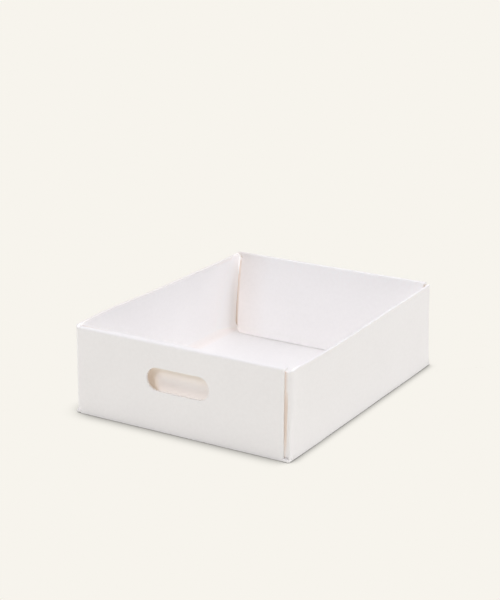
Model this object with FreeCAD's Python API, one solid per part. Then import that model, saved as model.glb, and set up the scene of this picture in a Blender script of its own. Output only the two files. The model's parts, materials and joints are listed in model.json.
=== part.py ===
"""Felt storage box: an open tray folded from one die-cut sheet of pressed felt.

Each flat panel between two creases is its own solid. The box stands on z = 0, centred on the
origin, with its long way along Y, its hand hole facing -Y and its open side up.
"""
import FreeCAD, Part

import math
import os

Vector = FreeCAD.Vector

# Driving dimensions, in millimetres and degrees
box_width = 270.0
box_depth = 340.0
box_height = 100.0
felt = 3.0
air = 0.3

crease_radius = 2.0
corner_radius = 6.0
end_wall_inset = 7.0

hand_hole_width = 78.0
hand_hole_height = 26.0
hand_hole_centre = 59.0

lining_inset = 13.0
lining_taper = 2.0
lining_foot_in = 27.0
lining_bow = 2.7
lining_corner = 4.0

side_bulge = 2.5
side_lean_out = 8.0

flap_reach = 86.0
flap_step = 3.8
flap_corner = 8.0

same_point = 1e-6

# What follows from them
half_width = box_width / 2
half_depth = box_depth / 2
end_half_width = half_width - end_wall_inset
rim_depth = 3 * felt + 2 * air
rim_underside = box_height - felt
panel_foot = felt + air
flap_face = -half_depth + felt + air
corner_centre_y = flap_face + corner_radius


def outline(points, place):
    """A closed wire through (u, v, radius) corners, each rounded by its radius.
    place turns u and v into a point in space."""
    arcs = []
    for i, (u, v, radius) in enumerate(points):
        corner = Vector(u, v, 0)
        before = (Vector(*points[i - 1][:2], 0) - corner).normalize()
        after = (Vector(*points[(i + 1) % len(points)][:2], 0) - corner).normalize()
        half_angle = before.getAngle(after) / 2
        reach = radius / math.tan(half_angle)
        inward = (before + after).normalize() * (radius / math.sin(half_angle) - radius)
        on_arc = (corner + before * reach, corner + inward, corner + after * reach)
        arcs.append([place(p.x, p.y) for p in on_arc])
    edges = []
    for i, arc in enumerate(arcs):
        start = arcs[i - 1][2]
        if start.distanceToPoint(arc[0]) > same_point:
            edges.append(Part.makeLine(start, arc[0]))
        if arc[0].distanceToPoint(arc[2]) > same_point:
            edges.append(Part.Arc(*arc).toShape())
    return Part.Wire(edges)


def flat_on_x(points, x_low, x_high):
    """A plate with its outline in Y and Z, between two heights along X."""
    face = Part.Face(outline(points, lambda y, z: Vector(x_low, y, z)))
    return face.extrude(Vector(x_high - x_low, 0, 0))


def flat_on_y(points, y_low, y_high):
    """A plate with its outline in X and Z, between two heights along Y."""
    face = Part.Face(outline(points, lambda x, z: Vector(x, y_low, z)))
    return face.extrude(Vector(0, y_high - y_low, 0))


def flat_on_z(points, z_low, z_high):
    """A plate with its outline in X and Y, between two heights along Z."""
    face = Part.Face(outline(points, lambda x, y: Vector(x, y, z_low)))
    return face.extrude(Vector(0, 0, z_high - z_low))


def to_back(shape):
    return shape.mirror(Vector(), Vector(0, 1, 0))


def to_left(shape):
    return shape.mirror(Vector(), Vector(1, 0, 0))


def floor_panel():
    """The floor, rounded underneath where it turns up into the two side walls, and at its corners."""
    section = [
        (-half_width, 0, crease_radius),
        (half_width, 0, crease_radius),
        (half_width, felt, 0),
        (-half_width, felt, 0),
    ]
    half_run = half_depth - felt
    plan = [
        (-half_width, -half_run, corner_radius),
        (half_width, -half_run, corner_radius),
        (half_width, half_run, corner_radius),
        (-half_width, half_run, corner_radius),
    ]
    return flat_on_y(section, -half_run, half_run).common(flat_on_z(plan, 0, felt)).Solids[0]


def front_outer_wall(with_hand_hole):
    """The outer layer of an end wall, rounded where it turns up from the floor."""
    front = -half_depth
    section = [
        (front, 0, crease_radius),
        (front + felt, 0, 0),
        (front + felt, rim_underside - air, 0),
        (front, rim_underside - air, 0),
    ]
    wall = flat_on_x(section, -end_half_width, end_half_width)
    if not with_hand_hole:
        return wall
    half_w, half_h = hand_hole_width / 2, hand_hole_height / 2
    slot = [
        (-half_w, hand_hole_centre - half_h, half_h),
        (half_w, hand_hole_centre - half_h, half_h),
        (half_w, hand_hole_centre + half_h, half_h),
        (-half_w, hand_hole_centre + half_h, half_h),
    ]
    return wall.cut(flat_on_y(slot, front - felt, front + 2 * felt))


def front_rim():
    """The narrow strip on top of an end wall, as wide as the three layers under it."""
    front, back = -half_depth, -half_depth + rim_depth
    section = [
        (front, rim_underside, 0),
        (back, rim_underside, 0),
        (back, box_height, crease_radius),
        (front, box_height, crease_radius),
    ]
    return flat_on_x(section, -end_half_width, end_half_width)


def front_inner_wall():
    """The lining of an end wall: it hangs from the rim's inner crease and leans and bows into the box,
    because it is cut longer than the box is deep and its foot wedges on the floor."""
    crease = Vector(0, -half_depth + rim_depth, box_height)
    foot_in = lining_foot_in - rim_depth
    lean = math.atan2(foot_in, box_height - panel_foot)
    down = Vector(0, math.sin(lean), -math.cos(lean))
    to_pocket = Vector(0, -math.cos(lean), -math.sin(lean))
    start = felt + 2 * air
    end = (box_height - panel_foot - felt * math.sin(lean)) / math.cos(lean)

    def at(along, depth):
        return crease + down * along + to_pocket * depth

    middle = (start + end) / 2
    room_side = Part.Arc(at(start, 0), at(middle, -lining_bow), at(end, 0)).toShape()
    pocket_side = Part.Arc(at(end, felt), at(middle, felt - lining_bow), at(start, felt)).toShape()
    foot = Part.makeLine(at(end, 0), at(end, felt))
    top = Part.makeLine(at(start, felt), at(start, 0))
    section = Part.Face(Part.Wire([room_side, foot, pocket_side, top]))
    section.translate(Vector(-half_width, 0, 0))
    band = section.extrude(Vector(box_width, 0, 0))

    top_half = half_width - lining_inset
    foot_half = top_half - lining_taper
    shape = [
        (-foot_half, panel_foot - air, lining_corner),
        (foot_half, panel_foot - air, lining_corner),
        (top_half, box_height, 0),
        (-top_half, box_height, 0),
    ]
    return band.common(flat_on_y(shape, -half_depth, 0)).Solids[0]


def right_wall():
    """A single-layer side wall, straight at the floor and bulging outwards along its top edge."""
    end = -corner_centre_y

    def level(z, bulge):
        inner, outer = half_width - felt, half_width
        front_inner, front_outer = Vector(inner, -end, z), Vector(outer, -end, z)
        back_inner, back_outer = Vector(inner, end, z), Vector(outer, end, z)
        outside = Part.makeLine(front_outer, back_outer)
        inside = Part.makeLine(back_inner, front_inner)
        if bulge:
            outside = Part.Arc(front_outer, Vector(outer + bulge, 0, z), back_outer).toShape()
            inside = Part.Arc(back_inner, Vector(inner + bulge, 0, z), front_inner).toShape()
        near = Part.makeLine(front_inner, front_outer)
        far = Part.makeLine(back_outer, back_inner)
        return Part.Wire([near, outside, far, inside])

    return Part.makeLoft([level(panel_foot, 0), level(box_height, side_bulge)], True, True)


def front_right_tuck_flap():
    """A flap that turns the corner from a side wall and slides between the two layers of an end wall.
    Its top slopes down to its free end, so that it clears the rim when the side wall leans out."""
    bend_x = half_width - corner_radius
    free_x = half_width - flap_reach
    flat_back = flap_face + felt
    inner_radius = corner_radius - felt

    def on_bend(radius, degrees):
        across = radius * math.cos(math.radians(degrees))
        along = radius * math.sin(math.radians(degrees))
        return Vector(bend_x + across, corner_centre_y + along, panel_foot)

    edges = [
        Part.Arc(*(on_bend(corner_radius, a) for a in (0, -45, -90))).toShape(),
        Part.makeLine(on_bend(corner_radius, -90), Vector(free_x, flap_face, panel_foot)),
        Part.makeLine(Vector(free_x, flap_face, panel_foot), Vector(free_x, flat_back, panel_foot)),
        Part.makeLine(Vector(free_x, flat_back, panel_foot), on_bend(inner_radius, -90)),
        Part.Arc(*(on_bend(inner_radius, a) for a in (-90, -45, 0))).toShape(),
        Part.makeLine(on_bend(inner_radius, 0), on_bend(corner_radius, 0)),
    ]
    plan = Part.Face(Part.Wire(edges))
    strip = plan.extrude(Vector(0, 0, box_height))

    top = box_height - flap_step
    slope_start = end_half_width
    free_top = top - (slope_start - free_x) * math.tan(math.radians(side_lean_out))
    shape = [
        (half_width + felt, panel_foot, 0),
        (half_width + felt, top, 0),
        (slope_start, top, 0),
        (free_x, free_top, flap_corner),
        (free_x, panel_foot, flap_corner),
    ]
    return strip.common(flat_on_y(shape, -half_depth, 0)).Solids[0]


flap = front_right_tuck_flap()
parts = {
    "floor_panel": floor_panel(),
    "front_outer_wall": front_outer_wall(with_hand_hole=True),
    "front_rim": front_rim(),
    "front_inner_wall": front_inner_wall(),
    "back_outer_wall": to_back(front_outer_wall(with_hand_hole=False)),
    "back_rim": to_back(front_rim()),
    "back_inner_wall": to_back(front_inner_wall()),
    "left_wall": to_left(right_wall()),
    "right_wall": right_wall(),
    "front_left_tuck_flap": to_left(flap),
    "front_right_tuck_flap": flap,
    "back_left_tuck_flap": to_back(to_left(flap)),
    "back_right_tuck_flap": to_back(flap),
}

os.makedirs("parts", exist_ok=True)
for name, shape in parts.items():
    shape.exportStep(f"parts/{name}.step")
    box = shape.BoundBox
    low = [round(v, 1) for v in (box.XMin, box.YMin, box.ZMin)]
    high = [round(v, 1) for v in (box.XMax, box.YMax, box.ZMax)]
    print(f"{name:22s} valid {shape.isValid()} solids {len(shape.Solids)} volume {shape.Volume:.0f}", low, high)
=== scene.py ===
"""Felt storage tray, panel by panel, as it is cut and folded from one flat sheet of felt."""

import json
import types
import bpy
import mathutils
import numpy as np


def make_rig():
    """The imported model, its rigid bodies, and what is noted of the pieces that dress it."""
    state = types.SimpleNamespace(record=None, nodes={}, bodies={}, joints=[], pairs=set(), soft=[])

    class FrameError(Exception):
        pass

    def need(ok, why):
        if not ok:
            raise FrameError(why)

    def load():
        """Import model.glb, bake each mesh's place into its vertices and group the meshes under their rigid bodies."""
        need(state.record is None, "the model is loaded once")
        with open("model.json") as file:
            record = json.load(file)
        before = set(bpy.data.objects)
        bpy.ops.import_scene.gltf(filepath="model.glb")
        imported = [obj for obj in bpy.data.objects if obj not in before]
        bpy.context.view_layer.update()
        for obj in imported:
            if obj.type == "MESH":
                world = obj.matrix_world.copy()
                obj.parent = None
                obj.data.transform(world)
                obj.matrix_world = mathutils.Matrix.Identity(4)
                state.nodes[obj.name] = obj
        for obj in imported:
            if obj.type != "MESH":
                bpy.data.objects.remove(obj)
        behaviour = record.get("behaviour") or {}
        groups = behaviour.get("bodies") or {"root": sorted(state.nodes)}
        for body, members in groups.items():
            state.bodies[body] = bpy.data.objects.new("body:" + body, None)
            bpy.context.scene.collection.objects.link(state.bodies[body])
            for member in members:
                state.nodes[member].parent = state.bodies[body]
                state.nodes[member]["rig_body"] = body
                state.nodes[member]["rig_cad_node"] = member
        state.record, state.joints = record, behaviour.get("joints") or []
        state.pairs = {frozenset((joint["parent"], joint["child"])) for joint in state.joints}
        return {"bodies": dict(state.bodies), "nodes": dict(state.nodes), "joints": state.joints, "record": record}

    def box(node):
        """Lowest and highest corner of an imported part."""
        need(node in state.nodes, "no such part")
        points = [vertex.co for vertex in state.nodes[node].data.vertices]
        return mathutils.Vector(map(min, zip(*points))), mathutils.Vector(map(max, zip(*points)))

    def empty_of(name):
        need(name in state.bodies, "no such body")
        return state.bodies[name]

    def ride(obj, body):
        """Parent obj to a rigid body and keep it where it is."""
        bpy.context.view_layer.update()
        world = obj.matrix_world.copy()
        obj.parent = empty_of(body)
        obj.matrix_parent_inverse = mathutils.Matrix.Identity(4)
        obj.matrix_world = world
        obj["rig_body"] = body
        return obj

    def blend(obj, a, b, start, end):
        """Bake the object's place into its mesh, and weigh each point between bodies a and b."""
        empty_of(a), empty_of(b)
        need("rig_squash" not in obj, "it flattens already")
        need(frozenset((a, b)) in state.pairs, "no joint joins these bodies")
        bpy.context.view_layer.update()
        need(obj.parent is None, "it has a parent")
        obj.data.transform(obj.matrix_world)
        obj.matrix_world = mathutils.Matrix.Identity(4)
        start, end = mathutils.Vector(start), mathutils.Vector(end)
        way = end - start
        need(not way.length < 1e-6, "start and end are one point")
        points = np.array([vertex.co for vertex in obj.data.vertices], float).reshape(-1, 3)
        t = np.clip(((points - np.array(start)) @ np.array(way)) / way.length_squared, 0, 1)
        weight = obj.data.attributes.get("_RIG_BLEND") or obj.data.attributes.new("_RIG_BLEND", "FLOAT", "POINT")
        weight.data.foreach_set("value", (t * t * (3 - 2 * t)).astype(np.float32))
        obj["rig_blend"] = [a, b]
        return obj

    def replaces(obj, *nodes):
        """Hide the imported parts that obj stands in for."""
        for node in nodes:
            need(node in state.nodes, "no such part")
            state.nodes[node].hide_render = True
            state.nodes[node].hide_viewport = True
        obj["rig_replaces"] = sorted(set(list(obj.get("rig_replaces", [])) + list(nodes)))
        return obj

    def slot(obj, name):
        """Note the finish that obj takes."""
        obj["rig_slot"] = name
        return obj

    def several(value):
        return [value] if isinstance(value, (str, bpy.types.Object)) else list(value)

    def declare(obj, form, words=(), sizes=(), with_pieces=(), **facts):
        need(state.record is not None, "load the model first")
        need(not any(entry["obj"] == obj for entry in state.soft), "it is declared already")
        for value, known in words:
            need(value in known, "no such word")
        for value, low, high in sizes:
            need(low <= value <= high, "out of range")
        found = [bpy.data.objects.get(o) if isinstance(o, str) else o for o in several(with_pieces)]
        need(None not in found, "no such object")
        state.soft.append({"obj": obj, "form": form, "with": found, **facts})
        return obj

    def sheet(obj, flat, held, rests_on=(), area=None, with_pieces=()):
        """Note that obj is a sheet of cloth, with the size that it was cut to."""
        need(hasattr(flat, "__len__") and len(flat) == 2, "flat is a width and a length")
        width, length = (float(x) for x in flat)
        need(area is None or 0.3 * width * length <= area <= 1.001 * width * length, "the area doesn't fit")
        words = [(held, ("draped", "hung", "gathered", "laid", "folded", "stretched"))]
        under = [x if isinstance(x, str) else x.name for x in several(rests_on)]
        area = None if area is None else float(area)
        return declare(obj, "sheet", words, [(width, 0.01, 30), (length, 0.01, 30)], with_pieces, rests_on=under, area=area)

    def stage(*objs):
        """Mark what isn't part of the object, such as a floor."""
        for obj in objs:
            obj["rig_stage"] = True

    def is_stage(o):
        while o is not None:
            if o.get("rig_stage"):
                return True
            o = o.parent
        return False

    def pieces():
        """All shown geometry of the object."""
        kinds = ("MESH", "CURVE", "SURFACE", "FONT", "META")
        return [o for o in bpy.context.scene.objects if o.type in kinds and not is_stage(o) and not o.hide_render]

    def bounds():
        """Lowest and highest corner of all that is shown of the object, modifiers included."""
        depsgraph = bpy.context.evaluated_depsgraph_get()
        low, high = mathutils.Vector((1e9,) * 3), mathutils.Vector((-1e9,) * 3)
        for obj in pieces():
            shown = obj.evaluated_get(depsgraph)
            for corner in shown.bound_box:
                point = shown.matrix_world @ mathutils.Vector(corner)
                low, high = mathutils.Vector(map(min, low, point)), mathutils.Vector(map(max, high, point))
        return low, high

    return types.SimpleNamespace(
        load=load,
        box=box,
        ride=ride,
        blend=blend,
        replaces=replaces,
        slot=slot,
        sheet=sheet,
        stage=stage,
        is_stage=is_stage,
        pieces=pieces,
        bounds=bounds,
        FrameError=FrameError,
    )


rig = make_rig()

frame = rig.load()

from functools import partial
import json
import math

import bmesh
import bpy
from mathutils import Matrix, Vector, noise

cad_low, cad_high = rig.bounds()

# The floor of the tray is the middle of one die-cut sheet of off-white pressed felt, 3 mm thick. Every
# panel is cut in the plane of that flat sheet, its lower side at z = 0 and the middle of the floor at the
# origin, and is folded up afterwards, so that the fibres run on over the creases.
mm = 0.001
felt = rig.box("floor_panel")[1].z
half_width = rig.box("floor_panel")[1].x
half_depth = -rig.box("front_outer_wall")[0].y
end_half_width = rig.box("front_outer_wall")[1].x
side_half_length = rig.box("right_wall")[1].y

floor_half_x = half_width - 14 * mm
floor_half_y = half_depth - 6 * mm
seam_gap = 0.2 * mm
ear_x = {1: half_width + 0.6 * mm, -1: half_width - 0.3 * mm}
ear_y = {1: half_depth + 0.4 * mm, -1: half_depth - 1.0 * mm}
ear_round = {1: 2 * mm, -1: 2.5 * mm}

grid_step = 5 * mm
soft_edge = 1.3 * mm
cut_edge_round = 0.55 * mm
cut_wander = 0.13 * mm
wander_scale = 70
sheet_rise = 0.11 * mm
ripple = 0.176 * mm
ripple_scale = 14
sharp_angle = math.radians(52)
same_line = 0.02 * mm
same_point = 0.002 * mm

felt_white = (0.945, 0.930, 0.920, 1)
# Painted shade colours, warmer where a pocket hides the felt and darker in a crevice, and painted glow colours that
# stand in for light soaking through it.
painted_pocket_shade = (0.912, 0.885, 0.860, 1)
painted_crevice_shade = (0.82, 0.71, 0.63, 1)
painted_pocket_glow = (0.140, 0.112, 0.085, 1)
painted_wall_glow = (0.32, 0.317, 0.322, 1)
black = (0, 0, 0, 1)

fibre_turns = (0.3, 1.35, 2.4)
fibre_scale = (420, 5200, 1)
fibre_crook = 1.2
fibre_thinness = 6
fuzz_scale = 2400
mottle_scale = 240
cloud_scale = 20
fibre_relief, fuzz_relief, mottle_relief = 0.5, 0.8, 1.2
fibre_tone, mottle_tone, cloud_tone = 0.008, 0.05, 0.03
relief_strength = 0.4
relief_height = 0.12 * mm


class Shade:
    """A value in a material. A sum written with it adds the Math node that works it out."""

    def __init__(self, tree, socket=None):
        self.tree = tree
        self.socket = socket

    def node(self, kind, settings, inputs, output=0):
        """A new node's output, given the node's settings and the values or shades of its sockets."""
        made = self.tree.nodes.new(kind)
        for name, value in settings.items():
            setattr(made, name, value)
        for name, value in inputs.items():
            if isinstance(value, Shade):
                self.tree.links.new(value.socket, made.inputs[name])
            else:
                made.inputs[name].default_value = value
        return Shade(self.tree, made.outputs[output] if made.outputs else None)

    def math(self, operation, *values):
        """A Math node's output, worked out from values or shades in the order of its sockets."""
        return self.node("ShaderNodeMath", {"operation": operation}, dict(enumerate(values)))

    def __add__(self, other):
        return self.math("ADD", self, other)

    def __radd__(self, other):
        return self.math("ADD", other, self)

    def __sub__(self, other):
        return self.math("SUBTRACT", self, other)

    def __rsub__(self, other):
        return self.math("SUBTRACT", other, self)

    def __mul__(self, other):
        return self.math("MULTIPLY", self, other)

    def __rmul__(self, other):
        return self.math("MULTIPLY", other, self)

    def higher(self, other):
        return self.math("MAXIMUM", self, other)

    def lower(self, other):
        return self.math("MINIMUM", self, other)

    def size(self):
        return self.math("ABSOLUTE", self)

    def mask(self, name):
        """How strongly the points here are marked under this name."""
        return self.node("ShaderNodeAttribute", {"attribute_name": name}, {}, output=2)

    def between(self, colour_at_0, colour_at_1):
        """The colour between these two, as this value goes from 0 to 1."""
        inputs = {0: self, 6: colour_at_0, 7: colour_at_1}
        return self.node("ShaderNodeMix", {"data_type": "RGBA"}, inputs, output=2)

    def noise(self, scale, detail=2.0, distortion=0.0):
        """Noise round 0 at this place, with about as many spots to the metre as scale says."""
        inputs = {"Vector": self, "Scale": scale, "Detail": detail, "Distortion": distortion}
        return self.node("ShaderNodeTexNoise", {"noise_dimensions": "2D"}, inputs) - 0.5

    def fibres(self, turn):
        """Fine crooked strands that all lie about one way, at their highest 1."""
        inputs = {"Vector": self, "Rotation": (0, 0, turn), "Scale": fibre_scale}
        lengthwise = self.node("ShaderNodeMapping", {"vector_type": "POINT"}, inputs)
        return 1 - lengthwise.noise(1, 1.0, fibre_crook).size() * fibre_thinness


def pressed_felt():
    """Short fibres pressed flat every way, faintly mottled. The colour has painted shade, warmer where a
    pocket hides the felt and darker in a crevice, and a faint painted glow where light would soak through it."""
    material = bpy.data.materials.new("white_felt")
    material.use_nodes = True
    material.node_tree.nodes.clear()
    start = Shade(material.node_tree)
    sheet = start.node("ShaderNodeUVMap", {"uv_map": "sheet"}, {})
    pocket = start.mask("pocket")

    tangle = sheet.fibres(fibre_turns[0])
    for turn in fibre_turns[1:]:
        tangle = tangle.higher(sheet.fibres(turn))
    fuzz = sheet.noise(fuzz_scale, 3.0)
    mottle = sheet.noise(mottle_scale, 3.0)
    clouds = sheet.noise(cloud_scale)

    relief = tangle * fibre_relief + fuzz * fuzz_relief + mottle * mottle_relief
    bump_inputs = {"Strength": relief_strength, "Distance": relief_height, "Height": relief}
    tone = 1 + mottle * mottle_tone + clouds * cloud_tone + tangle * fibre_tone
    # Painted shade in pockets and crevices goes into the base colour, and a painted glow into the emission.
    base_with_painted_shade = start.mask("crevice").between(pocket.between(felt_white, painted_pocket_shade), painted_crevice_shade)
    painted_glow_emission = pocket.between(start.mask("glow").between(black, painted_wall_glow), painted_pocket_glow)
    finish = {
        "Base Color": start.node("ShaderNodeVectorMath", {"operation": "SCALE"}, {0: base_with_painted_shade, "Scale": tone}),
        "Emission Color": painted_glow_emission,
        "Emission Strength": 1.0,
        "Roughness": 0.95,
        "Specular IOR Level": 0.15,
        "Sheen Weight": 0.10,
        "Sheen Roughness": 0.6,
        "Normal": start.node("ShaderNodeBump", {}, bump_inputs),
    }
    surface = start.node("ShaderNodeBsdfPrincipled", {}, finish)
    start.node("ShaderNodeOutputMaterial", {}, {"Surface": surface})
    return material


def flat_panel(corners, x_cuts, y_cuts, seams=(), opening=None):
    """A flat piece of the sheet, from the x, y and rounding of each corner. Its cut edges are eased, but
    not its seams, where the sheet runs on into the next panel. It is scored into a grid, to be bent. A
    seam is an axis, 0 for x and 1 for y, and its place along it."""
    panel = bmesh.new()
    points = [panel.verts.new((x, y, 0)) for x, y, _ in corners]
    panel.faces.new(points)
    for point, (_, _, rounding) in zip(points, corners):
        if rounding:
            bmesh.ops.bevel(
                panel, geom=[point], offset=rounding, segments=8, profile=0.5,
                affect="VERTICES", material=-1,
            )
    if opening:
        bmesh.ops.delete(panel, geom=panel.faces[:], context="FACES_ONLY")
        opening(panel)
        bmesh.ops.triangle_fill(panel, use_beauty=True, edges=panel.edges[:])
    bmesh.ops.recalc_face_normals(panel, faces=panel.faces[:])
    bmesh.ops.inset_region(
        panel, faces=panel.faces[:], thickness=soft_edge, use_boundary=True, use_even_offset=True
    )
    upper = bmesh.ops.extrude_face_region(panel, geom=panel.faces[:])["geom"]
    raised = [part for part in upper if isinstance(part, bmesh.types.BMVert)]
    bmesh.ops.translate(panel, verts=raised, vec=(0, 0, felt))
    bmesh.ops.recalc_face_normals(panel, faces=panel.faces[:])

    def on_seam(edge):
        tips = [tip.co for tip in edge.verts]
        return any(all(abs(tip[axis] - place) < same_line for tip in tips) for axis, place in seams)

    def between_skin_and_side(edge):
        return len({abs(face.normal.z) > 0.5 for face in edge.link_faces}) == 2

    bmesh.ops.bevel(
        panel, geom=[edge for edge in panel.edges if between_skin_and_side(edge) and not on_seam(edge)],
        offset=cut_edge_round, segments=3, profile=0.5, affect="EDGES", material=-1,
    )
    for axis, cuts in enumerate((x_cuts, y_cuts)):
        for cut in cuts:
            normal = Vector((axis == 0, axis == 1, 0))
            everything = [*panel.verts, *panel.edges, *panel.faces]
            bmesh.ops.bisect_plane(
                panel, geom=everything, dist=same_point, plane_co=normal * cut, plane_no=normal
            )
    return panel


def evenly(low, high):
    """Places between low and high, at most a grid step apart."""
    count = math.ceil((high - low) / grid_step)
    return [low + (high - low) * i / count for i in range(1, count)]


def lay(x, y):
    """How far the sheet stands up from flat here, as no sheet of felt is quite flat."""
    return sheet_rise + ripple * noise.noise(Vector((x, y, 0)) * ripple_scale)


def wander(x, y, axis):
    """How far a cut strays from its line here, along x for axis 0 and along y for axis 1."""
    return cut_wander * noise.noise(Vector((x * wander_scale, y * wander_scale, axis)))


def nowhere(x, y, depth):
    """The mark of a piece that has none of it."""
    return 0.0


def folded(name, panel, fold, pocket=nowhere, crevice=nowhere, glow=nowhere):
    """The finished piece: every point of the flat panel goes to its place in the folded tray. Its marks give
    each point painted shade, in a pocket and in a crevice, and a painted glow for light soaking through."""
    sheet = panel.loops.layers.uv.new("sheet")
    marks = [
        (panel.verts.layers.float.new(mark), share)
        for mark, share in (("pocket", pocket), ("crevice", crevice), ("glow", glow))
    ]
    for face in panel.faces:
        face.smooth = True
        for loop in face.loops:
            x, y, depth = loop.vert.co
            loop[sheet].uv = (x + depth, y + depth)
    for point in panel.verts:
        x, y, depth = point.co
        for layer, share in marks:
            point[layer] = share(x, y, depth)
        point.co = fold(x + wander(x, y, 0), y + wander(x, y, 1), depth + lay(x, y))
    bmesh.ops.recalc_face_normals(panel, faces=panel.faces[:])
    for edge in panel.edges:
        edge.smooth = edge.calc_face_angle(0) < sharp_angle
    mesh = bpy.data.meshes.new(name)
    panel.to_mesh(mesh)
    panel.free()
    mesh.materials.append(felt_finish)
    piece = bpy.data.objects.new(name, mesh)
    bpy.context.collection.objects.link(piece)
    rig.slot(piece, "pressed_felt")
    return piece


def flat_size(corners):
    """Width, length and area of a flat panel, its rounded corners left out of count."""
    width = max(x for x, _, _ in corners) - min(x for x, _, _ in corners)
    length = max(y for _, y, _ in corners) - min(y for _, y, _ in corners)
    crossed = (
        x * corners[i - 1][1] - corners[i - 1][0] * y for i, (x, y, _) in enumerate(corners)
    )
    return {"flat": (width, length), "area": abs(sum(crossed)) / 2}


def floor_corner(side):
    """The corner of the floor at the back, on the right for 1 and on the left for -1. It runs out in a
    small ear under the bend of the side wall."""
    return [
        (side * floor_half_x, side_half_length + seam_gap, 0),
        (side * ear_x[side], side_half_length + seam_gap, 0),
        (side * ear_x[side], ear_y[side], ear_round[side]),
        (side * (end_half_width + seam_gap), ear_y[side], 0),
        (side * (end_half_width + seam_gap), floor_half_y, 0),
    ]


felt_finish = pressed_felt()
back_edge = floor_corner(1) + floor_corner(-1)[::-1]
corners = back_edge + [(x, -y, rounding) for x, y, rounding in reversed(back_edge)]
floor_panel = folded(
    "felt_floor",
    flat_panel(
        corners,
        evenly(-floor_half_x, floor_half_x),
        evenly(-floor_half_y, floor_half_y),
        seams=[(0, floor_half_x), (0, -floor_half_x), (1, floor_half_y), (1, -floor_half_y)],
    ),
    fold=lambda x, y, depth: Vector((x, y, depth)),
)
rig.ride(floor_panel, "tray_base")
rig.replaces(floor_panel, "floor_panel")
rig.sheet(floor_panel, held="folded", **flat_size(corners))


# The outer layer of each end wall turns up from the floor and is as wide as the rim above it. The front
# one has a hand hole punched through it. The cut edges at its two ends curl slightly away from the flaps
# behind, and the felt at the top of the back one puffs up and tips backwards.
ends = (("front", -1), ("back", 1))
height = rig.box("front_rim")[1].z
rim_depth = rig.box("front_rim")[1].y + half_depth
lining_lean = math.radians(10.2)

skin = 0.1 * felt
foot_fold_round = 0.7 * mm
rim_fold_round = 2.4 * mm
crease_core = 0.1 * mm
crease_side = 0.8 * mm
crease_cuts = 3
wall_top_seam = 94 * mm
wall_curl = {1: 0.4 * mm, -1: 0.5 * mm}
wall_curl_reach = 18 * mm
back_puff = 2 * mm
back_tip = 2 * mm
back_tip_reach = 45 * mm

hand_hole_width = 78 * mm
hand_hole_height = 26 * mm
hand_hole_centre = 59 * mm
hand_hole_segments = 48


class Section:
    """A cut across the folded sheet, with outwards first and the way up, or along, second. The sheet's
    lower side runs from start to each crease, and turns there to its left, so its upper side is inside."""

    def __init__(self, start, heading, creases):
        self.start = Vector(start)
        self.heading = heading
        self.creases = creases

    def kept(self, along):
        """The part of its thickness that the felt keeps, as a tight crease presses it."""
        share = 1.0
        for place, turn, rounding in self.creases:
            beyond = max(0.0, abs(along - place) - rounding * math.tan(turn / 2))
            pressed = min(1.0, (rounding - crease_core) / felt)
            share = min(share, pressed + (1 - pressed) * min(1.0, beyond / crease_side))
        return share

    def at(self, along, depth):
        """The point this far along the sheet, and this deep in it from its lower side."""
        depth *= self.kept(along)
        corner, done, heading = self.start, 0.0, self.heading
        for place, turn, rounding in self.creases:
            reach = rounding * math.tan(turn / 2)
            if along <= place - reach:
                break
            corner = corner + direction(heading) * (place - done)
            done = place
            if along < place + reach:
                turned = turn * (along - place + reach) / (2 * reach)
                centre = corner - direction(heading) * reach + direction(heading + quarter_turn) * rounding
                return centre - direction(heading + turned + quarter_turn) * (rounding - depth)
            heading += turn
        ahead = direction(heading) * (along - done)
        return corner + ahead + direction(heading + quarter_turn) * depth

    def cuts(self):
        """Where the sheet needs scoring to go round the creases."""
        places = []
        for place, turn, rounding in self.creases:
            reach = rounding * math.tan(turn / 2)
            places += [place + reach * i / crease_cuts for i in range(-crease_cuts, crease_cuts + 1)]
            places += [place - reach - crease_side, place + reach + crease_side]
        return places


def direction(angle):
    """A step of length 1 that way."""
    return Vector((math.cos(angle), math.sin(angle)))


def clamped(value):
    """The value, held between 0 and 1."""
    return min(1.0, max(0.0, value))


quarter_turn = math.pi / 2
foot_crease = half_depth - floor_half_y
rim_crease = foot_crease + height
lining_crease = rim_crease + rim_depth
wall_seam = foot_crease + wall_top_seam
end_section = Section(
    start=(floor_half_y, 0),
    heading=0,
    creases=[
        (foot_crease, quarter_turn, foot_fold_round),
        (rim_crease, quarter_turn, rim_fold_round),
        (lining_crease, quarter_turn - lining_lean, rim_fold_round),
    ],
)


def fold_end(end, x, y, depth):
    """Folds the strip of an end, from the floor up and over the rim. end is -1 at the front and 1 at the
    back."""
    along = y * end - floor_half_y
    outward, up = end_section.at(along, depth)
    if along < rim_crease:
        from_edge = end_half_width - abs(x)
        swell = math.sin(math.pi * clamped((along - foot_crease) / height)) ** 2
        curl = wall_curl[1 if x > 0 else -1] * max(0.0, 1 - from_edge / wall_curl_reach) ** 2
        outward += curl * swell
    if end > 0:
        across_rim = clamped((along - rim_crease) / rim_depth)
        down_lining = clamped((along - lining_crease) / back_tip_reach)
        up += back_puff * up / height + back_tip * across_rim * (1 - down_lining) ** 2
    return Vector((x, end * outward, up))


def hand_hole(panel):
    """Punches the hand hole, a slot with round ends."""
    middle = Vector((0, -floor_half_y - foot_crease - hand_hole_centre, 0))
    ring = bmesh.ops.create_circle(panel, segments=hand_hole_segments, radius=hand_hole_height / 2)["verts"]
    half_a_segment = Matrix.Rotation(math.pi / hand_hole_segments, 3, "Z")
    bmesh.ops.rotate(panel, verts=ring, cent=(0, 0, 0), matrix=half_a_segment)
    for point in ring:
        point.co.x += math.copysign((hand_hole_width - hand_hole_height) / 2, point.co.x)
    bmesh.ops.translate(panel, verts=ring, vec=middle)


def end_strip(end, low, high):
    """The corners of a strip right across the end panel, between two places along it."""
    near, far = end * (floor_half_y + low), end * (floor_half_y + high)
    return [
        (-end_half_width, near, 0), (end_half_width, near, 0),
        (end_half_width, far, 0), (-end_half_width, far, 0),
    ]


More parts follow.
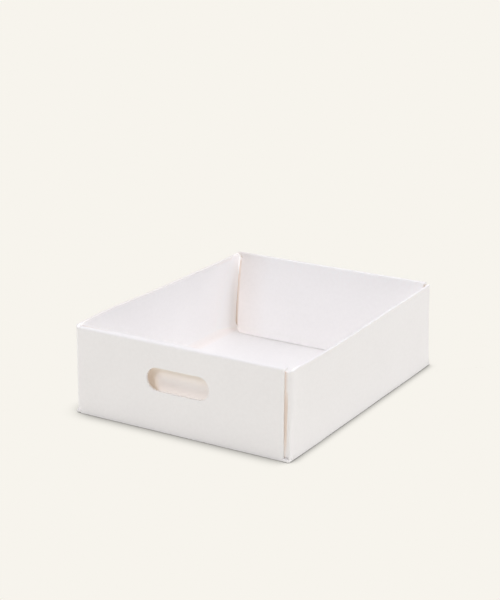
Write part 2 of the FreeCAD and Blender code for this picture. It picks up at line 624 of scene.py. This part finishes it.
def end_cuts(end, low, high):
    """Cuts across an end strip, close together round its creases and evenly spaced between them."""
    places = [place for place in end_section.cuts() if low < place < high]
    bounds = sorted([low, *places, high])
    for below, above in zip(bounds, bounds[1:]):
        if above - below > grid_step:
            places += evenly(below, above)
    return [end * (floor_half_y + place) for place in places]


for end_name, end in ends:
    corners = end_strip(end, 0, wall_seam)
    outer_wall = folded(
        f"{end_name}_outer_wall_felt",
        flat_panel(
            corners,
            evenly(-end_half_width, end_half_width),
            end_cuts(end, 0, wall_seam),
            seams=[(1, end * floor_half_y), (1, end * (floor_half_y + wall_seam))],
            opening=hand_hole if end < 0 else None,
        ),
        fold=partial(fold_end, end),
        # The pocket side beyond the fold takes painted pocket shade.
        pocket=lambda x, y, depth: float(depth > felt - skin and abs(y) > half_depth),
    )
    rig.ride(outer_wall, "tray_base")
    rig.replaces(outer_wall, f"{end_name}_outer_wall")
    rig.sheet(outer_wall, held="folded", rests_on=["felt_floor"], **flat_size(corners))


# The rim is the narrow strip that turns over the top of an end wall, with a crease along both its sides.
# It is the hinge that lets the lining be pulled up out of the tray, so it bends with both its neighbours.
rim_middle = (rim_crease + lining_crease) / 2
# Painted shade dims the top skin of the back rim, and the pocket side of both rims takes painted pocket shade.
rim_shade = {-1: 0.0, 1: 0.3}
bend_margin = 0.6 * mm

for end_name, end in ends:
    corners = end_strip(end, wall_seam, rim_middle)
    rim = folded(
        f"{end_name}_rim_felt",
        flat_panel(
            corners,
            evenly(-end_half_width, end_half_width),
            end_cuts(end, wall_seam, rim_middle),
            seams=[(1, end * (floor_half_y + wall_seam)), (1, end * (floor_half_y + rim_middle))],
        ),
        fold=partial(fold_end, end),
        pocket=lambda x, y, depth: float(depth > felt - skin),
        crevice=lambda x, y, depth: rim_shade[end] * (depth < skin),
    )
    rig.replaces(rim, f"{end_name}_rim")
    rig.sheet(rim, held="folded", rests_on=[f"{end_name}_outer_wall_felt"], **flat_size(corners))
    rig.blend(
        rim, "tray_base", f"{end_name}_rim",
        start=(0, end * (half_depth - bend_margin), height - rim_fold_round),
        end=(0, end * (half_depth - rim_fold_round), height - bend_margin),
    )


# The lining hangs from the rim's inner crease and hides the tucked flaps. It is cut a little longer than
# the tray is high, so its foot stands in from the wall, and the felt leans and bows into the tray. Its colour
# has a painted glow for light that soaks through it, painted shade where a flap lies behind, painted pocket
# shade on the front one's pocket side, and a painted pool of light where light falls on it through the hand hole.
lining_top_y = half_depth - rim_depth
lining_top_half = 120.6 * mm
right_top_half = {-1: lining_top_half, 1: 127 * mm}
lining_foot_half = 119.2 * mm
lining_foot_round = 4 * mm
step_from_rim = 1 * mm
step_end_from_rim = 5 * mm
lining_length = 98 * mm
lining_end = lining_crease + lining_length

lining_bow = 2.7 * mm
foot_bow = 1.5 * mm
lining_curl = 1.6 * mm
lining_curl_reach = 26 * mm

# Painted pocket shade on the front lining, a painted pool of light from the hand hole, painted shade before a flap,
# and painted glows.
lining_pocket_shade = 0.8
lit_from_x = -37 * mm
lit_from_rim = 41.5 * mm
lit_edge = 4 * mm
lit_glow = 0.08
lit_glow_below = 0.50
lit_rise = 26 * mm
flap_shade = 0.4
flap_shade_reach = 43 * mm
top_glow = 0.17
top_glow_reach = 70 * mm
back_glow = 0.45
back_glow_from = 30 * mm
back_glow_run = 32 * mm


def fold_lining(end, x, y, depth):
    """Folds the end strip on into the lining, which bows into the tray and curls back at its two sides."""
    place = fold_end(end, x, y, depth)
    down = (y * end - floor_half_y - lining_crease) / lining_length
    if down > 0:
        across = math.cos(math.pi / 2 * x / end_half_width)
        inward = lining_bow * math.sin(math.pi * min(1.0, down)) + foot_bow * across * down ** 2
        curl = max(0.0, 1 - (lining_top_half - abs(x)) / lining_curl_reach)
        place.y += end * (lining_curl * curl ** 2 * min(1.0, 2 * down) - inward)
    return place


def below_rim(end, y):
    """How far down the lining this place is."""
    return y * end - floor_half_y - lining_crease


def lit_through_hole(x, y):
    """Painted pool of light: 1 where light that comes in through the hand hole falls on the front lining,
    and 0 elsewhere.
    """
    across = clamped((x - lit_from_x) / lit_edge + 0.5)
    return across * clamped((below_rim(-1, y) - lit_from_rim) / lit_edge + 0.5)


def front_lining_pocket_shade(end, x, y, depth):
    """How much painted pocket shade the pocket's side of the front lining takes where it is shut away."""
    return lining_pocket_shade * (1 - lit_through_hole(x, y)) * (depth > felt - skin) * (end < 0)


def before_flap(x, depth):
    """Painted shade, more towards the left end of the side that faces the room, where a flap behind keeps
    light back.
    """
    return max(0.0, 1 - (lining_top_half + x) / flap_shade_reach) * (depth < skin)


def lining_glow(end, x, y, depth):
    """How much painted glow a lining takes: on the pocket's side for light from inside the tray or through
    the hand hole, and along the top of the back one for light from outside."""
    down = below_rim(end, y)
    if end < 0:
        stronger_down = clamped((down - lit_from_rim) / lit_rise)
        return lit_through_hole(x, y) * (lit_glow + lit_glow_below * stronger_down) * (depth > felt - skin)
    if depth < skin:
        return top_glow * max(0.0, 1 - down / top_glow_reach) * (1 - min(1.0, before_flap(x, depth)))
    return back_glow * clamped((down - back_glow_from) / back_glow_run) * (depth > felt - skin)


for end_name, end in ends:
    top, step, step_end, foot = (
        end * (floor_half_y + along)
        for along in (
            rim_middle, lining_crease + step_from_rim, lining_crease + step_end_from_rim, lining_end
        )
    )
    corners = [
        (-end_half_width, top, 0),
        (end_half_width, top, 0),
        (end_half_width, step, 0),
        (right_top_half[end], step_end, 0),
        (lining_foot_half, foot, lining_foot_round),
        (-lining_foot_half, foot, lining_foot_round),
        (-lining_top_half, step_end, 0),
        (-end_half_width, step, 0),
    ]
    lining = folded(
        f"{end_name}_lining_felt",
        flat_panel(
            corners,
            evenly(-lining_foot_half, lining_foot_half),
            end_cuts(end, rim_middle, lining_end),
            seams=[(1, top)],
        ),
        fold=partial(fold_lining, end),
        # Painted pocket shade, painted shade before a flap, and painted glow.
        pocket=partial(front_lining_pocket_shade, end),
        crevice=lambda x, y, depth: flap_shade * before_flap(x, depth),
        glow=partial(lining_glow, end),
    )
    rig.replaces(lining, f"{end_name}_inner_wall")
    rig.sheet(lining, held="folded", rests_on=[f"{end_name}_rim_felt", "felt_floor"], **flat_size(corners))
    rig.blend(
        lining, f"{end_name}_rim", f"{end_name}_lining",
        start=(0, end * (lining_top_y + rim_fold_round), height - bend_margin),
        end=(0, end * (lining_top_y + bend_margin), height - rim_fold_round),
    )


# A side wall is one layer of felt with a cut edge on top. Only its two ends are held, so it waves: the
# right wall stands out at the front and in at the back, and the left wall leans in towards the back.
# Its colour has a painted glow near the linings, for light from outside that soaks through it, and painted
# shade where a lining shuts it away, in its fold and on the left wall's cut edge.
sides = (("right", 1), ("left", -1))
side_round = 0.7 * mm
side_crease = half_width - floor_half_x
side_top = side_crease + height
side_section = Section(
    start=(floor_half_x, 0), heading=0, creases=[(side_crease, quarter_turn, side_round)]
)
cove = 10 * mm
cove_steps = 9
corner_drop = {-1: 0.6 * mm, 1: -1.4 * mm}
corner_run = {-1: 4 * mm, 1: 60 * mm}
hinge_inside = 4 * mm
hinge_outside = 1 * mm

top_wave = {
    1: (3.0 * mm, 9.5 * mm, -3.0 * mm, 0.6 * mm),
    -1: (0.3 * mm, -0.9 * mm, -1.9 * mm, -4.4 * mm),
}
wave_power = 1.2
front_bow = {1: 0.0, -1: 2.8 * mm}
front_bow_place = 0.2
front_bow_width = 0.13
foot_bulge = {1: 1.2 * mm, -1: 0.0}
foot_bulge_reach = 40 * mm

# Painted glow near the linings, and painted shade behind them, in the fold and on the left wall's cut edge.
glow_from = 60 * mm
glow_run = side_half_length - glow_from
glow_power = 2.2
glow_at_foot = 0.75
glow_at_top = 0.2
end_glow_from = 143 * mm
end_glow_run = 18 * mm
end_glow_power = 1.5
end_glow_at_foot = 0.22
end_glow_at_top = 0.7
gap_at_foot = 1 * mm
gap_at_top = 12 * mm
gap_power = 2.5
gap_fade = 1.5 * mm
gap_top_fade = 0.08
gap_shade = 0.8
gap_pocket_shade = 0.3
fold_shade = 0.3
cut_edge_shade = {1: 0.0, -1: 0.22}
cut_edge_width = 1 * mm


def stand_out(side, y, up):
    """How far a side wall stands outwards here, on a curve with four controls from front to back."""
    t = clamped(0.5 + y / (2 * side_half_length))
    first, second, third, last = top_wave[side]
    edge = first * (1 - t) ** 3 + 3 * second * (1 - t) ** 2 * t
    edge += 3 * third * (1 - t) * t ** 2 + last * t ** 3
    edge += front_bow[side] * math.exp(-((t - front_bow_place) / front_bow_width) ** 2)
    foot = foot_bulge[side] * max(0.0, 1 - up / foot_bulge_reach) ** 2
    return foot + edge * max(0.0, (up - felt) / (height - felt)) ** wave_power


def fold_side(side, x, y, depth):
    """Folds a side wall up. side is 1 on the right and -1 on the left. Its inner skin gathers at the fold
    and turns up in a round cove."""
    along = x * side - floor_half_x
    past_crease = (along - side_crease) / (cove + felt)
    if abs(past_crease) < 1:
        turned = quarter_turn / 2 * (1 + past_crease)
        inner_skin = Vector((half_width - felt - cove, felt + cove)) + direction(turned - quarter_turn) * cove
        outward, up = side_section.at(along, 0).lerp(inner_skin, depth / felt)
    else:
        outward, up = side_section.at(along, depth)
    outward += clamped(along / side_crease) * stand_out(side, y, up)
    return Vector((side * outward, y, up))


def share_up(side, x):
    """How far up a side wall this place is: 0 at its fold and 1 at its top."""
    return clamped((x * side - half_width) / height)


def behind_lining(side, x, y, depth):
    """1 on the inner skin where the lining shuts it away, which begins further back at the top."""
    up = share_up(side, x)
    begins = side_half_length - gap_at_foot + (gap_at_foot + gap_at_top) * up ** gap_power
    share = clamped((abs(y) - begins) / gap_fade) * min(1.0, (1 - up) / gap_top_fade)
    return share * (depth > felt / 2)


def painted_side_glow(side, x, y, depth):
    """How much painted glow the inner skin takes near a lining, for light from outside that soaks through
    the felt there.
    """
    up = share_up(side, x)
    off_floor = clamped((x * side - floor_half_x) / (side_crease + cove))
    towards_end = clamped((abs(y) - glow_from) / glow_run)
    at_end = clamped((abs(y) - end_glow_from) / end_glow_run)
    broad = (glow_at_foot + up * (glow_at_top - glow_at_foot)) * towards_end ** glow_power
    narrow = (end_glow_at_foot + up * (end_glow_at_top - end_glow_at_foot)) * at_end ** end_glow_power
    return off_floor * (broad + narrow) * (1 - behind_lining(side, x, y, depth)) * (depth > felt / 2)


def side_shade(side, x, y, depth):
    """How much painted shade a side wall takes behind a lining, on its cut edge, and where its inner skin
    gathers.
    """
    past_crease = (x * side - half_width) / (cove + felt)
    in_fold = max(0.0, 1 - past_crease ** 2) * (depth > felt / 2)
    on_cut_edge = x * side - half_width > height - cut_edge_width
    return max(
        gap_shade * behind_lining(side, x, y, depth),
        cut_edge_shade[side] * on_cut_edge,
        fold_shade * in_fold,
    )


for side_name, side in sides:
    seam, top = side * floor_half_x, side * (floor_half_x + side_top)
    corners = [
        (seam, -side_half_length, 0),
        (top - side * corner_drop[-1], -side_half_length, 0),
        (top, -side_half_length + corner_run[-1], 0),
        (top, side_half_length - corner_run[1], 0),
        (top - side * corner_drop[1], side_half_length, 0),
        (seam, side_half_length, 0),
    ]
    cove_start, cove_end = side_crease - cove - felt, side_crease + cove + felt
    cove_run = cove_end - cove_start
    places = side_section.cuts()
    places += [cove_start + cove_run * i / cove_steps for i in range(1, cove_steps + 1)]
    places += evenly(cove_end, side_top)
    shade_starts = [gap_fade - side_half_length, side_half_length - gap_fade]
    wall = folded(
        f"{side_name}_wall_felt",
        flat_panel(
            corners,
            [side * (floor_half_x + place) for place in places],
            evenly(-side_half_length, side_half_length) + shade_starts,
            seams=[(0, seam), (1, side_half_length), (1, -side_half_length)],
        ),
        fold=partial(fold_side, side),
        # Painted pocket shade and painted shade behind the lining, and a painted glow near it.
        pocket=lambda x, y, depth: gap_pocket_shade * behind_lining(side, x, y, depth),
        crevice=partial(side_shade, side),
        glow=partial(painted_side_glow, side),
    )
    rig.replaces(wall, f"{side_name}_wall")
    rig.sheet(wall, held="folded", rests_on=["felt_floor"], **flat_size(corners))
    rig.blend(
        wall, "tray_base", f"{side_name}_side",
        start=(side * (half_width - hinge_inside), 0, -hinge_outside),
        end=(side * (half_width + hinge_outside), 0, hinge_inside),
    )


# At each end a side wall turns the corner in a round bend and goes on as a flap, which is tucked between
# the outer wall and the lining and keeps the corner square. Its top slopes down to clear the rim.
bend_round = 6 * mm
bend_foot_round = 2.5 * mm
bend_run = 11 * mm
bend_steps = 12
bend_flare = {1: 2.8 * mm, -1: 0.0}
bend_flare_reach = 70 * mm

flap_foot = felt + 0.3 * mm
flap_top = height - 3.8 * mm
flap_free_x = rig.box("front_right_tuck_flap")[0].x
flap_slope = math.tan(math.radians(8))
flap_round = 8 * mm
flap_ease = 0.6 * mm
flap_length = bend_round + half_width - flap_free_x
level_run = {
    (1, -1): 0.2 * mm,
    (1, 1): 3.5 * mm,
    (-1, -1): 0.2 * mm,
    (-1, 1): 0.2 * mm,
}

# Where the painted shade in the gap at the outer wall's end begins on a flap's outer skin.
crevice_gap = {1: 1.8 * mm, -1: -1.5 * mm}
crevice_swell = {1: 1.6 * mm, -1: 0.0}
crevice_power = 1.5
hidden_fade = 0.8 * mm


def flap_section(up):
    """The way round the corner, seen from above. The bend is tighter at the floor than at the top."""
    rounding = bend_foot_round + (bend_round - bend_foot_round) * clamped(up / height)
    return Section(
        start=(half_width, side_half_length),
        heading=quarter_turn,
        creases=[(bend_round, quarter_turn, rounding)],
    )


def fold_flap(side, end, x, y, depth):
    """Turns a flap round its corner. side and end say which corner it is."""
    up = x * side - half_width
    along = y * end - side_half_length
    round_bend = min(1.0, along / bend_run)
    outward, endward = flap_section(up).at(along, depth)
    outward += stand_out(side, end * side_half_length, up)
    endward -= flap_ease * clamped(up / height) * round_bend
    endward += bend_flare[side] * max(0.0, 1 - up / bend_flare_reach) * math.sin(math.pi * round_bend)
    return Vector((side * outward, end * endward, up))


def flap_shut_away(side, end, x, y, depth):
    """How much painted shade a flap takes: on its outer skin where the outer wall hides it and in the
    narrow gap at that wall's end, and on its inner skin behind the lining."""
    place = fold_flap(side, end, x, y, 0)
    swell = math.sin(math.pi * min(1.0, place.z / height) ** crevice_power)
    hidden_from = end_half_width + crevice_gap[side] + crevice_swell[side] * swell
    hidden = clamped((hidden_from - place.x * side) / hidden_fade) * (depth < felt / 2)
    return max(hidden, gap_shade * behind_lining(side, x, y, depth))


for end_name, end in ends:
    for side_name, side in sides:
        foot, top = side * (half_width + flap_foot), side * (half_width + flap_top)
        free_top = top - side * (end_half_width - flap_free_x) * flap_slope
        wall_top = side * (half_width + height - corner_drop[end])
        seam = end * side_half_length
        slope_start = end * (side_half_length + bend_round + half_width - end_half_width)
        free = end * (side_half_length + flap_length)
        corners = [
            (foot, seam, 0),
            (wall_top, seam, 0),
            (wall_top, seam + end * level_run[side, end], 0),
            (top, slope_start, 0),
            (free_top, free, flap_round),
            (foot, free, flap_round),
        ]
        places = [2 * bend_round * i / bend_steps for i in range(1, bend_steps + 1)]
        places += evenly(max(places), flap_length)
        flap = folded(
            f"{end_name}_{side_name}_flap_felt",
            flat_panel(
                corners,
                evenly(min(foot, top), max(foot, top)),
                [end * (side_half_length + place) for place in places],
                seams=[(1, seam)],
            ),
            fold=partial(fold_flap, side, end),
            # Painted pocket shade and painted shade behind the lining, and a painted glow near it.
            pocket=lambda x, y, depth: gap_pocket_shade * behind_lining(side, x, y, depth),
            crevice=partial(flap_shut_away, side, end),
            glow=partial(painted_side_glow, side),
        )
        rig.ride(flap, f"{side_name}_side")
        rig.replaces(flap, f"{end_name}_{side_name}_tuck_flap")
        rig.sheet(flap, held="folded", rests_on=[f"{side_name}_wall_felt"], **flat_size(corners))


# The tray stands on a wide pale floor that glows evenly, as a lit table does, with a painted contact shadow
# where the tray comes close. Wide soft lamps stand round it, and a smaller one lights the front and the hand hole.
stage_half = 40
paper_colour = (0.930, 0.905, 0.847, 1)
shade_reach = 25 * mm
shade_reach_beside = 13 * mm
shade_depth = 2.2
room_light = 0.10
lamp_colour = (1.0, 0.993, 1.043)

ground = bmesh.new()
bmesh.ops.create_grid(ground, x_segments=1, y_segments=1, size=stage_half)
ground_mesh = bpy.data.meshes.new("studio_floor")
ground.to_mesh(ground_mesh)
ground.free()
studio_floor = bpy.data.objects.new("studio_floor", ground_mesh)
bpy.context.collection.objects.link(studio_floor)

paper = bpy.data.materials.new("studio_paper")
paper.use_nodes = True
paper.node_tree.nodes.clear()
sheet_of_paper = Shade(paper.node_tree)
place = sheet_of_paper.node("ShaderNodeTexCoord", {}, {}, output=3)
place_x = sheet_of_paper.node("ShaderNodeSeparateXYZ", {}, {0: place})
beside_tray = (place_x - end_half_width) * (1 / (half_width - end_half_width))
reach = shade_reach + beside_tray.higher(0.0).lower(1.0) * (shade_reach_beside - shade_reach)
open_to_light = sheet_of_paper.node(
    "ShaderNodeAmbientOcclusion", {"samples": 16}, {"Distance": reach}, output=1
)
# A painted contact shadow: the glowing floor darkens as ambient occlusion closes it in.
closed_in = 1 - open_to_light
paper_with_painted_shadow = (closed_in * closed_in * shade_depth).between(paper_colour, black)
lit_paper = sheet_of_paper.node("ShaderNodeEmission", {}, {"Color": paper_with_painted_shadow, "Strength": 1.0})
sheet_of_paper.node("ShaderNodeOutputMaterial", {}, {"Surface": lit_paper})
ground_mesh.materials.append(paper)
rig.stage(studio_floor)

room = bpy.data.worlds.new("pale_room")
room.use_nodes = True
room.node_tree.nodes["Background"].inputs["Color"].default_value = paper_colour
room.node_tree.nodes["Background"].inputs["Strength"].default_value = room_light
bpy.context.scene.world = room
bpy.context.scene.view_settings.view_transform = "Standard"


def soft_lamp(name, brightness, round_from_front, above, spread):
    """A far lamp that lights a surface facing it to the given brightness. Angles are in degrees."""
    light = bpy.data.lights.new(name, "SUN")
    light.energy = brightness * math.pi
    light.angle = math.radians(spread)
    light.color = lamp_colour
    lamp = bpy.data.objects.new(name, light)
    level = math.radians(above)
    turn = math.radians(round_from_front)
    towards = Vector((
        -math.sin(turn) * math.cos(level), math.cos(turn) * math.cos(level), -math.sin(level)
    ))
    lamp.rotation_euler = towards.to_track_quat("-Z", "Y").to_euler()
    bpy.context.collection.objects.link(lamp)


soft_lamp("front_lamp", 0.315, 8, 34, 12)
soft_lamp("right_lamp", 0.135, 90, 30, 60)
soft_lamp("high_right_lamp", 0.05, 90, 60, 60)
soft_lamp("left_lamp", 0.22, -90, 40, 60)
soft_lamp("low_left_lamp", 0.15, -90, 25, 40)
soft_lamp("back_left_lamp", 0.08, -135, 50, 60)
soft_lamp("back_right_lamp", 0.38, 135, 45, 60)
soft_lamp("top_lamp", 0.07, 0, 90, 60)


# The camera stands about 1.7 m away, to the right of the front, and looks down a little over the corner
# between the front and the right side.
camera_place = (0.825913, -1.394549, 0.621741)
camera_down = math.radians(17.682)
camera_round = math.radians(31.038)
lens = 90.48

camera_data = bpy.data.cameras.new("camera")
camera_data.lens = lens
camera = bpy.data.objects.new("camera", camera_data)
camera.location = camera_place
camera.rotation_euler = (quarter_turn - camera_down, 0, camera_round)
bpy.context.collection.objects.link(camera)
bpy.context.scene.camera = camera

visual_low, visual_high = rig.bounds()
sizes = {"cad": [list(cad_low), list(cad_high)], "visual": [list(visual_low), list(visual_high)]}
with open("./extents.json", "w") as size_file:
    json.dump(sizes, size_file)
